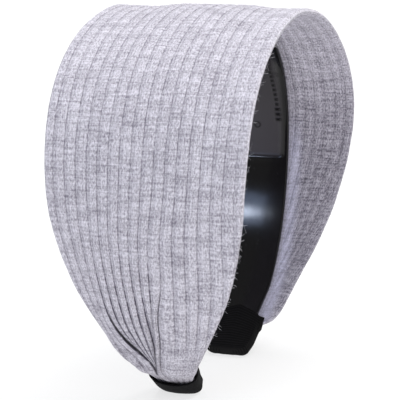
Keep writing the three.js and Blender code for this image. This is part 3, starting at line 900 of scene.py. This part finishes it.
def two_colours(tree, share, first, second):
    return blend_colour(tree, share, linear(first), linear(second))


def new_material(name):
    material = bpy.data.materials.new(name)
    material.use_nodes = True
    tree = material.node_tree
    shader = next(node for node in tree.nodes if node.type == "BSDF_PRINCIPLED")
    return material, tree, shader


def bump(tree, strength, distance, height):
    return add(tree, "ShaderNodeBump", None, {"Strength": strength, "Distance": distance, "Height": height})


# The heather in the knit: fine grains, streaks across the ribs, dark course lines, soft clouds, and what
# breaks the painted crease shade into dashes
HEATHER = table(
    "name long wide seed detail roughness",
    ("grains", 1.05, 0.5, 3.0, 2.0, 0.6),
    ("streaks", 0.75, 9, 17.0, 2.0, 0.55),
    ("lines", 0.8, 14, 29.0, 2.0, 0.6),
    ("clouds", 4.5, 11, 41.0, 3.0, 0.6),
    ("dashes", 2.6, RIB_WIDTH / 3.7, 53.0, 2.0, 0.6),
)


def knit_material(settings):
    material, tree, shader = new_material("heather_rib_knit")
    rib = attribute(tree, "rib")
    along = attribute(tree, "along")
    away = abs(along)
    across = rib * RIB_WIDTH
    part = rib.fraction()
    heather = {row["name"]: cloth_noise(tree, along, across, row) for row in HEATHER}
    tone = (
        (heather["grains"] - 0.5) * settings.grain
        + (heather["streaks"] - 0.5) * settings.streak
        - between(tree, heather["lines"], 0.56, 0.72) * settings.course
        + (heather["clouds"] - 0.5) * settings.cloud
        # Painted highlight along each rib's raised edge, and a fainter one near its crease
        + within(tree, abs(part - 0.55), 0.03, 0.11) * 0.1
        + within(tree, abs(part - 0.17), 0.03, 0.1) * 0.04
        + 0.52
    )
    tone = between(tree, tone, -0.2, 1.2)

    # Painted highlight along the rims, painted shade at the gathered ends outside and low down inside
    highlit = within(tree, RIBS / 2 - abs(rib - RIBS / 2), 0.08, 0.28) * settings.rim_highlight
    low_tone = tone + highlit - between(tree, away, 130.0, 176.0) * settings.end_shade
    deep_tone = tone - between(tree, away, 58.0, 96.0) * settings.deep_shade
    outer = two_colours(tree, low_tone, settings.shade_colour, settings.pale_colour)
    # The inner side's darker colours are partly its reverse side and partly painted shade
    inner = two_colours(tree, deep_tone, settings.inner_shade, settings.inner_pale)

    # Low down, beside the hoop, the inner side is paler, bluish and smoother: a painted patch of light
    beside = within(tree, attribute(tree, "beside"), 2.5, 6.5) * between(tree, away, 84.0, 104.0)
    lit_strip = two_colours(tree, tone, settings.lit_strip_dark, settings.lit_strip_pale)
    inner = blend_colour(tree, beside, inner, lit_strip)
    body = blend_colour(tree, between(tree, attribute(tree, "inside"), 0.2, 0.9), outer, inner)

    # Painted shade: the creases between ribs are darker, in dashes, with a fainter second line, and the sunk
    # channels a little
    crease_shading = attribute(tree, "crease_shading")
    broken = between(tree, heather["dashes"], 0.3, 0.65) * 0.52 + 0.11
    crease = within(tree, 0.5 - abs(part - 0.5), 0.01, crease_shading * 0.03 + 0.045) * broken
    second = within(tree, abs(part - 0.77), 0.02, 0.07) * within(tree, heather["dashes"], 0.4, 0.6)
    channel = between(tree, part, 0.64, 0.72) * 0.09
    shade = (crease + channel + second * 0.16) * crease_shading
    body = blend_colour(tree, shade, body, linear(settings.crease_shade_colour))
    # Painted shadow just beyond the edge of each lap
    body = blend_colour(tree, attribute(tree, "dark"), body, linear(settings.fold_shadow_colour))

    # The stitches: fine wales along the ribs and courses across them, and a little fuzz
    wale = abs((across * (math.pi / STITCH_WIDE)).sine())
    course = ((along / STITCH_HIGH + wale * 0.35) * (2 * math.pi)).sine()
    height = wale * 0.5 + course * 0.22 + heather["grains"] * 1.3 + heather["streaks"] * 0.6
    feed(tree, shader, {
        "Base Color": body,
        "Roughness": heather["grains"] * 0.12 + 0.86,
        "Specular IOR Level": 0.2,
        "Sheen Weight": settings.sheen,
        "Sheen Roughness": 0.5,
        "Normal": bump(tree, 0.6, 0.0002, height),
    })
    return material


def fuzz_material(settings):
    material, tree, shader = new_material("loose_fibre")
    tint = noise(tree, object_place(tree), 900.0, 1.0)
    feed(tree, shader, {
        "Base Color": two_colours(tree, tint, settings.pale_colour, settings.fuzz_colour),
        "Roughness": tint * 0.1 + 0.8,
        "Specular IOR Level": 0.2,
    })
    return material


def gloss_material(settings):
    material, tree, shader = new_material("moulded_gloss_black")
    place = object_place(tree)
    mark = attribute(tree, "mark")
    in_panel = attribute(tree, "panel") * (1 - mark)
    flow = noise(tree, place, 60.0)
    specks = between(tree, noise(tree, place, 1400.0, roughness=0.6), 0.7, 0.78)
    body = two_colours(tree, in_panel, settings.colour, settings.panel_colour)
    feed(tree, shader, {
        "Base Color": blend_colour(tree, specks * 0.5, body, linear(settings.dust_colour)),
        "Roughness": flow * 0.04 + in_panel * 0.25 + mark * 0.2 + settings.roughness,
        "IOR": 1.35,
        "Normal": bump(tree, 0.1, 0.0004, flow * 0.6 + noise(tree, place, 260.0) * 0.15),
    })
    return material


def ribbon_material(settings):
    material, tree, shader = new_material("black_grosgrain")
    place = object_place(tree)
    turns = attribute(tree, "along") * (2 * math.pi / settings.rib_pitch * MM)
    ribs = turns.sine() * 0.5 + 0.5
    weave = noise(tree, place, 2600.0, roughness=0.6)
    # Painted highlight: the raised ribs and the weave's specks take the lighter colour
    lit = ribs * 0.75 + between(tree, weave, 0.5, 0.8) * 0.25
    feed(tree, shader, {
        "Base Color": two_colours(tree, lit, settings.colour, settings.lit_rib_colour),
        "Roughness": noise(tree, place, 220.0) * 0.25 + 0.66,
        "Specular IOR Level": 0.08,
        "Sheen Weight": 0.01,
        "Sheen Roughness": 0.4,
        "Normal": bump(tree, 0.5, 0.00015, ribs * 0.7 + weave * 0.5),
    })
    return material


def paper_material(settings):
    material, tree, shader = new_material("white_studio_floor")
    grain = noise(tree, object_place(tree), 8.0)
    feed(tree, shader, {
        "Base Color": blend_colour(tree, grain, tuple(settings.floor_colour), tuple(settings.floor_shade)),
        "Roughness": 1.0,
        "Specular IOR Level": 0.0,
        "Emission Color": WHITE,
        "Emission Strength": settings.floor_glow,
    })
    return material


def screen_colour(name, description, default):
    return FloatVectorProperty(name=name, description=description, default=default, size=3, min=0, max=255)


def number(name, description, default, **limits):
    return FloatProperty(name=name, description=description, default=default, **limits)


def length_property(name, description, default):
    return FloatProperty(name=name, description=description, default=default, min=0, unit="LENGTH")


class HeadbandCoverSettings(bpy.types.PropertyGroup):
    shade_colour: screen_colour("Dark yarn", "Darkest colour of the outer side", (130, 125, 137))
    pale_colour: screen_colour("Pale yarn", "Palest colour of the outer side", (229, 226, 235))
    # The inner side's darker colours are partly its reverse side and partly painted shade
    inner_shade: screen_colour("Inner dark yarn", "Darkest colour of the inner side", (104, 100, 113))
    inner_pale: screen_colour("Inner pale yarn", "Palest colour of the inner side", (219, 215, 228))
    # The strip beside the hoop is a painted patch of paler, bluish light
    lit_strip_dark: screen_colour("Strip dark yarn", "Darkest colour beside the hoop", (152, 149, 168))
    lit_strip_pale: screen_colour("Strip pale yarn", "Palest colour beside the hoop", (222, 220, 240))
    # Painted shade in the creases between ribs
    crease_shade_colour: screen_colour("Crease", "Colour deep between two ribs", (84, 79, 93))
    # Painted shadow beyond the laps
    fold_shadow_colour: screen_colour("Fold", "Colour in the dark of a deep fold", (26, 20, 34))
    fuzz_colour: screen_colour("Fuzz", "Palest colour of the loose fibre ends", (246, 244, 248))
    grain: number("Grain", "Strength of the fine heather grains", 1.95, min=0)
    streak: number("Streaks", "Strength of the streaks across the ribs", 1.0, min=0)
    course: number("Course lines", "Strength of the dark course lines", 0.17, min=0)
    cloud: number("Clouds", "Strength of the soft patches of tone", 0.7, min=0)
    # Painted shade at the gathered ends and low down inside, and a painted highlight along the rims
    end_shade: number("End shade", "How much darker the gathered ends are outside", 0.13, min=0)
    deep_shade: number("Deep shade", "How much darker the inner side is low down", 0.17, min=0)
    rim_highlight: number("Rim light", "How much paler the worn rims are", 0.28, min=0)
    sheen: number("Sheen", "Strength of the knit's soft sheen", 0.1, min=0, max=1, subtype="FACTOR")
    unevenness: length_property("Unevenness", "Height of the cloth's soft lumps", 0.00025)
    strands: IntProperty(name="Strands", description="Number of loose fibre ends", default=500, min=1)
    strand_length: length_property("Strand length", "Length of the longest fibre ends", 0.002)
    strand_radius: length_property("Strand radius", "Half the thickness of a fibre end", 0.000045)


class HeadbandHoopSettings(bpy.types.PropertyGroup):
    colour: screen_colour("Plastic", "Colour of the smooth plastic", (8, 7, 8))
    panel_colour: screen_colour("Panel", "Colour of the duller sunk panel", (60, 57, 62))
    dust_colour: screen_colour("Dust", "Colour of the fine dust on the plastic", (90, 90, 94))
    roughness: number("Roughness", "Lowest roughness of the plastic", 0.1, min=0, max=1, subtype="FACTOR")


class HeadbandSleeveSettings(bpy.types.PropertyGroup):
    colour: screen_colour("Ribbon", "Colour of the ribbon", (4, 4, 4))
    # Painted highlight on the ribbon's raised ribs
    lit_rib_colour: screen_colour("Raised ribs", "Colour of the ribbon's raised ribs", (27, 26, 28))
    rib_pitch: length_property("Rib pitch", "Distance between the ribbon's fine ribs", 0.0008)


class HeadbandStageSettings(bpy.types.PropertyGroup):
    floor_colour: FloatVectorProperty(
        name="Floor", description="Colour of the floor", default=(0.3, 0.3, 0.3), size=3, subtype="COLOR"
    )
    floor_shade: FloatVectorProperty(
        name="Floor grain", description="Its faint grain", default=(0.31, 0.31, 0.31), size=3, subtype="COLOR"
    )
    floor_glow: number("Floor glow", "Light of the floor itself, as on a light table", 0.7, min=0)
    floor_radius: length_property("Floor radius", "Radius of the floor", 9)
    world_strength: number("Surroundings", "Brightness of the white surroundings", 0.4, min=0)
    lamp_strength: number("Lamps", "Strength of all the lamps together", 1, min=0)
    azimuth: number("Azimuth", "Where the camera stands", math.radians(-70.85), subtype="ANGLE")
    elevation: number("Elevation", "How far the camera looks down", math.radians(9.97), subtype="ANGLE")
    distance: length_property("Distance", "From the camera to the point it looks at", 0.62)
    lens: number("Lens", "Focal length in millimetres on a 36 mm sensor", 155.7, min=10)
    target: FloatVectorProperty(
        name="Target", description="The point that the camera looks at", size=3, unit="LENGTH",
        default=(-0.00137, 0.00342, 0.06401),
    )


# Wide soft lamps, far away: the direction each comes from, the angle it fills in degrees and its strength
LAMPS = table(
    "name from width strength colour",
    ("overhead", (0.2, -0.1, 0.97), 56, 3.1, WHITE),
    ("front_left", (-0.75, -0.6, 0.3), 50, 0.55, WHITE),
    ("softbox", (-0.85, 0.36, 0.38), 15, 0.25, (0.66, 0.85, 1.3)),
    ("core", (-0.853, 0.327, 0.407), 4, 0.16, (0.85, 0.95, 1.15)),
)
FLOOR_SIDES = 96


def lay_floor(settings):
    turns = np.linspace(0, 2 * math.pi, FLOOR_SIDES, endpoint=False)
    ring = [(settings.floor_radius * math.cos(t), settings.floor_radius * math.sin(t), 0) for t in turns]
    mesh = bpy.data.meshes.new("studio_floor")
    mesh.from_pydata(ring, [], [list(range(FLOOR_SIDES))])
    mesh.materials.append(paper_material(settings))
    new_object("studio_floor", mesh)


def whiten_surroundings(settings):
    """A world that lights softly and is plain white where the camera sees it."""
    world = bpy.data.worlds.new("white_surroundings")
    world.use_nodes = True
    background = world.node_tree.nodes["Background"]
    seen = add(world.node_tree, "ShaderNodeLightPath", output="Is Camera Ray")
    strength = seen * (1 - settings.world_strength) + settings.world_strength
    feed(world.node_tree, background, {"Color": WHITE, "Strength": strength})
    bpy.context.scene.world = world


def hang_lamps(settings):
    for row in LAMPS:
        light = bpy.data.lights.new(row["name"], "SUN")
        light.energy = row["strength"] * settings.lamp_strength
        light.angle = math.radians(row["width"])
        light.color = row["colour"]
        lamp = new_object(row["name"], light)
        lamp.location = row["from"]
        lamp.rotation_euler = lamp.location.to_track_quat("Z", "Y").to_euler()


def place_camera(settings):
    camera = new_object("camera", bpy.data.cameras.new("camera"))
    camera.data.sensor_width = 36
    camera.data.lens = settings.lens
    camera.data.clip_start = 0.01
    camera.data.clip_end = 50
    a, e = settings.azimuth, settings.elevation
    back = Vector((math.sin(a) * math.cos(e), -math.cos(a) * math.cos(e), math.sin(e)))
    camera.location = Vector(settings.target) + back * settings.distance
    camera.rotation_euler = (-back).to_track_quat("-Z", "Y").to_euler()
    bpy.context.scene.camera = camera


def dress(made, material):
    made.data.materials.append(material)
    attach(made, "root")


class HEADBAND_OT_cover(bpy.types.Operator):
    """Builds the gathered rib-knit cover"""

    bl_idname = "headband.cover"
    bl_label = "Knit cover"

    def execute(self, context):
        settings = context.scene.headband_cover
        made = grid_mesh("knit_cover", *cover_points(settings))
        dress(made, knit_material(settings))
        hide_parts("cover")
        return {"FINISHED"}


class HEADBAND_OT_fuzz(bpy.types.Operator):
    """Builds the loose fibre ends along the cover's rims"""

    bl_idname = "headband.fuzz"
    bl_label = "Rim fuzz"

    def execute(self, context):
        settings = context.scene.headband_cover
        dress(fuzz_mesh(settings), fuzz_material(settings))
        return {"FINISHED"}


class HEADBAND_OT_hoop(bpy.types.Operator):
    """Builds the moulded plastic hoop with its beads, sunk panel, teeth and marks"""

    bl_idname = "headband.hoop"
    bl_label = "Moulded hoop"

    def execute(self, context):
        made = grid_mesh("moulded_hoop", *hoop_points())
        dress(made, gloss_material(context.scene.headband_hoop))
        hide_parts("hoop")
        return {"FINISHED"}


class HEADBAND_OT_sleeves(bpy.types.Operator):
    """Builds the two black ribbon sleeves"""

    bl_idname = "headband.sleeves"
    bl_label = "Ribbon sleeves"

    def execute(self, context):
        ribbon = ribbon_material(context.scene.headband_sleeves)
        for name, node, side in (("ribbon_left", "end_wrap_left", -1), ("ribbon_right", "end_wrap_right", 1)):
            points = wrap_points(side)
            step = np.linalg.norm(np.diff(points, axis=0), axis=-1).mean(axis=1)
            along = np.concatenate([[0], np.cumsum(step)])[:, None] + np.zeros((1, points.shape[1] + 1))
            made = grid_mesh(name, points, {"along": along})
            dress(made, ribbon)
            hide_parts(node)
        return {"FINISHED"}


class HEADBAND_OT_stage(bpy.types.Operator):
    """Sets the floor, the lights and the camera"""

    bl_idname = "headband.stage"
    bl_label = "Floor, lights and camera"

    def execute(self, context):
        settings = context.scene.headband_stage
        lay_floor(settings)
        whiten_surroundings(settings)
        hang_lamps(settings)
        place_camera(settings)
        context.scene.view_settings.view_transform = "Standard"
        return {"FINISHED"}


class HEADBAND_PT_build(bpy.types.Panel):
    """Lists the pieces of the headband"""

    bl_idname = "HEADBAND_PT_build"
    bl_label = "Wide headband"
    bl_space_type = "VIEW_3D"
    bl_region_type = "UI"
    bl_category = "Headband"

    def draw(self, context):
        for step in BUILD_STEPS:
            self.layout.operator(step.bl_idname)


BUILD_STEPS = [HEADBAND_OT_cover, HEADBAND_OT_fuzz, HEADBAND_OT_hoop, HEADBAND_OT_sleeves, HEADBAND_OT_stage]
SETTINGS = {
    "headband_cover": HeadbandCoverSettings,
    "headband_hoop": HeadbandHoopSettings,
    "headband_sleeves": HeadbandSleeveSettings,
    "headband_stage": HeadbandStageSettings,
}


def register():
    for group in SETTINGS.values():
        bpy.utils.register_class(group)
    for name, group in SETTINGS.items():
        setattr(bpy.types.Scene, name, PointerProperty(type=group))
    for step in [*BUILD_STEPS, HEADBAND_PT_build]:
        bpy.utils.register_class(step)


def unregister():
    for step in [HEADBAND_PT_build, *reversed(BUILD_STEPS)]:
        bpy.utils.unregister_class(step)
    for name in SETTINGS:
        delattr(bpy.types.Scene, name)
    for group in reversed(SETTINGS.values()):
        bpy.utils.unregister_class(group)


def main():
    register()
    for step in BUILD_STEPS:
        group, name = step.bl_idname.split(".")
        getattr(getattr(bpy.ops, group), name)()
    bpy.context.view_layer.update()


if __name__ == "__main__":
    main()
